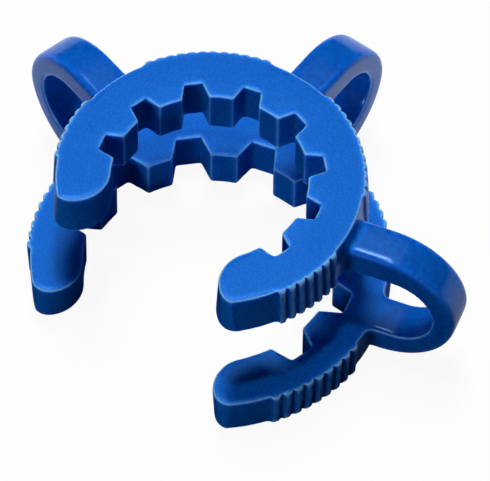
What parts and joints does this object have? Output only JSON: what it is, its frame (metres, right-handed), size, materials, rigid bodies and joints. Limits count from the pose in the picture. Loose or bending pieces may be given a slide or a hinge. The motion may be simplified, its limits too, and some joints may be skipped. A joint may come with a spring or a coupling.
{
  "type": "ground glass joint clip",
  "caption": "Moulded C-shaped spring clip with a toothed tube jaw and a wider toothed socket jaw, joined by three U-shaped straps, to hold a taper joint together.",
  "frame": {"origin": "on the common axis of both jaws, at the underside of the socket jaw", "axes": "+Z along the jaws' axis from the socket jaw to the tube jaw; the mouth opens towards -Y and the back strap points towards +Y; X=0 is the mirror plane"},
  "size_m": [0.0498, 0.038, 0.0174],
  "materials": {
    "blue_acetal": "moulded acetal, fine grain on the jaws' faces, smoother on the straps"
  },
  "bodies": {
    "root": {"clip": "blue_acetal"}
  },
  "joints": []
}
